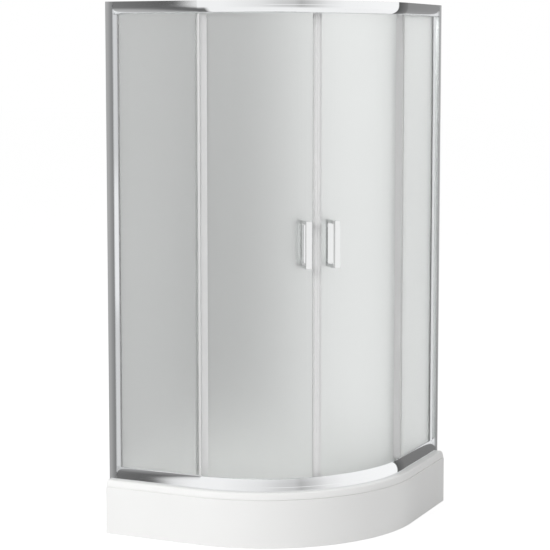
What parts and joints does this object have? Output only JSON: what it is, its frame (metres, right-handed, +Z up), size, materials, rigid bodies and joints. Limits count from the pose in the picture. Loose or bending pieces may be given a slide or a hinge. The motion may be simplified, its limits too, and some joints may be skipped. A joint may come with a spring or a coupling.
{
  "type": "quadrant shower enclosure",
  "caption": "Quadrant shower cabin with frosted sliding doors between curved rails, loop handles and fixed side panes, on a deep acrylic tray with an apron.",
  "frame": {"origin": "on the floor at the middle of the footprint's box", "axes": "+Z up, -X face against the left wall, +Y face against the back wall, round front towards -Y and +X"},
  "size_m": [0.925, 0.925, 1.85],
  "materials": {
    "acrylic_white": "glossy",
    "glass_frosted": "etched, translucent",
    "aluminium_chromed": "bright polished",
    "zinc_chromed": "mirror",
    "pvc_clear": "clear, soft",
    "rubber_grey": "matt",
    "plastic_moulded": "satin",
    "nylon_white": "satin",
    "steel_galvanised": "zinc coated",
    "brass_chromed": "mirror",
    "steel_bright": "bright"
  },
  "bodies": {
    "root": {"apron": "acrylic_white", "apron_clips": "plastic_moulded", "channel_gaskets": "rubber_grey", "door_stops": "rubber_grey", "fixed_glass_left": "glass_frosted", "fixed_glass_right": "glass_frosted", "fixed_seal_left": "pvc_clear", "fixed_seal_right": "pvc_clear", "foot_nuts": "steel_bright", "foot_pads": "plastic_moulded", "foot_studs": "steel_bright", "frame_pads": "rubber_grey", "glass_profile_left": "aluminium_chromed", "glass_profile_right": "aluminium_chromed", "lower_rail": "aluminium_chromed", "profile_gasket_left": "rubber_grey", "profile_gasket_right": "rubber_grey", "profile_screws": "steel_bright", "rail_plugs": "plastic_moulded", "rail_screws": "steel_bright", "screw_caps": "plastic_moulded", "support_frame": "steel_galvanised", "tray": "acrylic_white", "upper_rail": "aluminium_chromed", "wall_profile_left": "aluminium_chromed", "wall_profile_right": "aluminium_chromed", "waste_body": "plastic_moulded", "waste_cup": "plastic_moulded", "waste_flange": "brass_chromed", "waste_gasket": "rubber_grey"},
    "left_door": {"door_glass_left": "glass_frosted", "roller_bolts_left": "steel_bright", "roller_bushes_left": "plastic_moulded", "roller_knobs_left": "plastic_moulded", "outer_handle_left": "zinc_chromed", "inner_handle_left": "zinc_chromed", "handle_bushes_left": "pvc_clear", "handle_screws_left": "steel_bright", "magnet_seal_left": "pvc_clear", "edge_seal_left": "pvc_clear"},
    "right_door": {"door_glass_right": "glass_frosted", "roller_bolts_right": "steel_bright", "roller_bushes_right": "plastic_moulded", "roller_knobs_right": "plastic_moulded", "outer_handle_right": "zinc_chromed", "inner_handle_right": "zinc_chromed", "handle_bushes_right": "pvc_clear", "handle_screws_right": "steel_bright", "magnet_seal_right": "pvc_clear", "edge_seal_right": "pvc_clear"},
    "wheel_lower_trail_left": {"wheel_lower_trail_left": "nylon_white"},
    "wheel_lower_lead_left": {"wheel_lower_lead_left": "nylon_white"},
    "wheel_upper_trail_left": {"wheel_upper_trail_left": "nylon_white"},
    "wheel_upper_lead_left": {"wheel_upper_lead_left": "nylon_white"},
    "wheel_lower_trail_right": {"wheel_lower_trail_right": "nylon_white"},
    "wheel_lower_lead_right": {"wheel_lower_lead_right": "nylon_white"},
    "wheel_upper_trail_right": {"wheel_upper_trail_right": "nylon_white"},
    "wheel_upper_lead_right": {"wheel_upper_lead_right": "nylon_white"},
    "cover": {"waste_cover": "brass_chromed"}
  },
  "joints": [
    {"name": "left_door_slide", "type": "hinge", "parent": "root", "child": "left_door", "pos_m": [-0.1406, 0.19485, 1.02], "axis": [0, 0, -1], "range_deg": [0, 22.5]},
    {"name": "right_door_slide", "type": "hinge", "parent": "root", "child": "right_door", "pos_m": [-0.19485, 0.1406, 1.02], "axis": [0, 0, 1], "range_deg": [0, 22.5]},
    {"name": "wheel_lower_trail_left_spin", "type": "hinge", "parent": "left_door", "child": "wheel_lower_trail_left", "pos_m": [-0.00584, -0.38929, 0.2087], "axis": [0.2079, -0.9781, 0], "continuous": true},
    {"name": "wheel_lower_lead_left_spin", "type": "hinge", "parent": "left_door", "child": "wheel_lower_lead_left", "pos_m": [0.20333, -0.29175, 0.2087], "axis": [0.6157, -0.788, 0], "continuous": true},
    {"name": "wheel_upper_trail_left_spin", "type": "hinge", "parent": "left_door", "child": "wheel_upper_trail_left", "pos_m": [-0.00584, -0.38929, 1.8313], "axis": [0.2079, -0.9781, 0], "continuous": true},
    {"name": "wheel_upper_lead_left_spin", "type": "hinge", "parent": "left_door", "child": "wheel_upper_lead_left", "pos_m": [0.20333, -0.29175, 1.8313], "axis": [0.6157, -0.788, 0], "continuous": true},
    {"name": "wheel_lower_trail_right_spin", "type": "hinge", "parent": "right_door", "child": "wheel_lower_trail_right", "pos_m": [0.38929, 0.00584, 0.2087], "axis": [0.9781, -0.2079, 0], "continuous": true},
    {"name": "wheel_lower_lead_right_spin", "type": "hinge", "parent": "right_door", "child": "wheel_lower_lead_right", "pos_m": [0.29175, -0.20333, 0.2087], "axis": [0.788, -0.6157, 0], "continuous": true},
    {"name": "wheel_upper_trail_right_spin", "type": "hinge", "parent": "right_door", "child": "wheel_upper_trail_right", "pos_m": [0.38929, 0.00584, 1.8313], "axis": [0.9781, -0.2079, 0], "continuous": true},
    {"name": "wheel_upper_lead_right_spin", "type": "hinge", "parent": "right_door", "child": "wheel_upper_lead_right", "pos_m": [0.29175, -0.20333, 1.8313], "axis": [0.788, -0.6157, 0], "continuous": true},
    {"name": "waste_cover_lift", "type": "slide", "parent": "root", "child": "cover", "axis": [0, 0, 1], "range_m": [0, 0.06]}
  ],
  "couplings": [
    {"joint": "wheel_lower_trail_left_spin", "follows": "left_door_slide", "ratio": -54.498},
    {"joint": "wheel_lower_lead_left_spin", "follows": "left_door_slide", "ratio": -54.171},
    {"joint": "wheel_upper_trail_left_spin", "follows": "left_door_slide", "ratio": 54.498},
    {"joint": "wheel_upper_lead_left_spin", "follows": "left_door_slide", "ratio": 54.171},
    {"joint": "wheel_lower_trail_right_spin", "follows": "right_door_slide", "ratio": 54.498},
    {"joint": "wheel_lower_lead_right_spin", "follows": "right_door_slide", "ratio": 54.171},
    {"joint": "wheel_upper_trail_right_spin", "follows": "right_door_slide", "ratio": -54.498},
    {"joint": "wheel_upper_lead_right_spin", "follows": "right_door_slide", "ratio": -54.171}
  ]
}
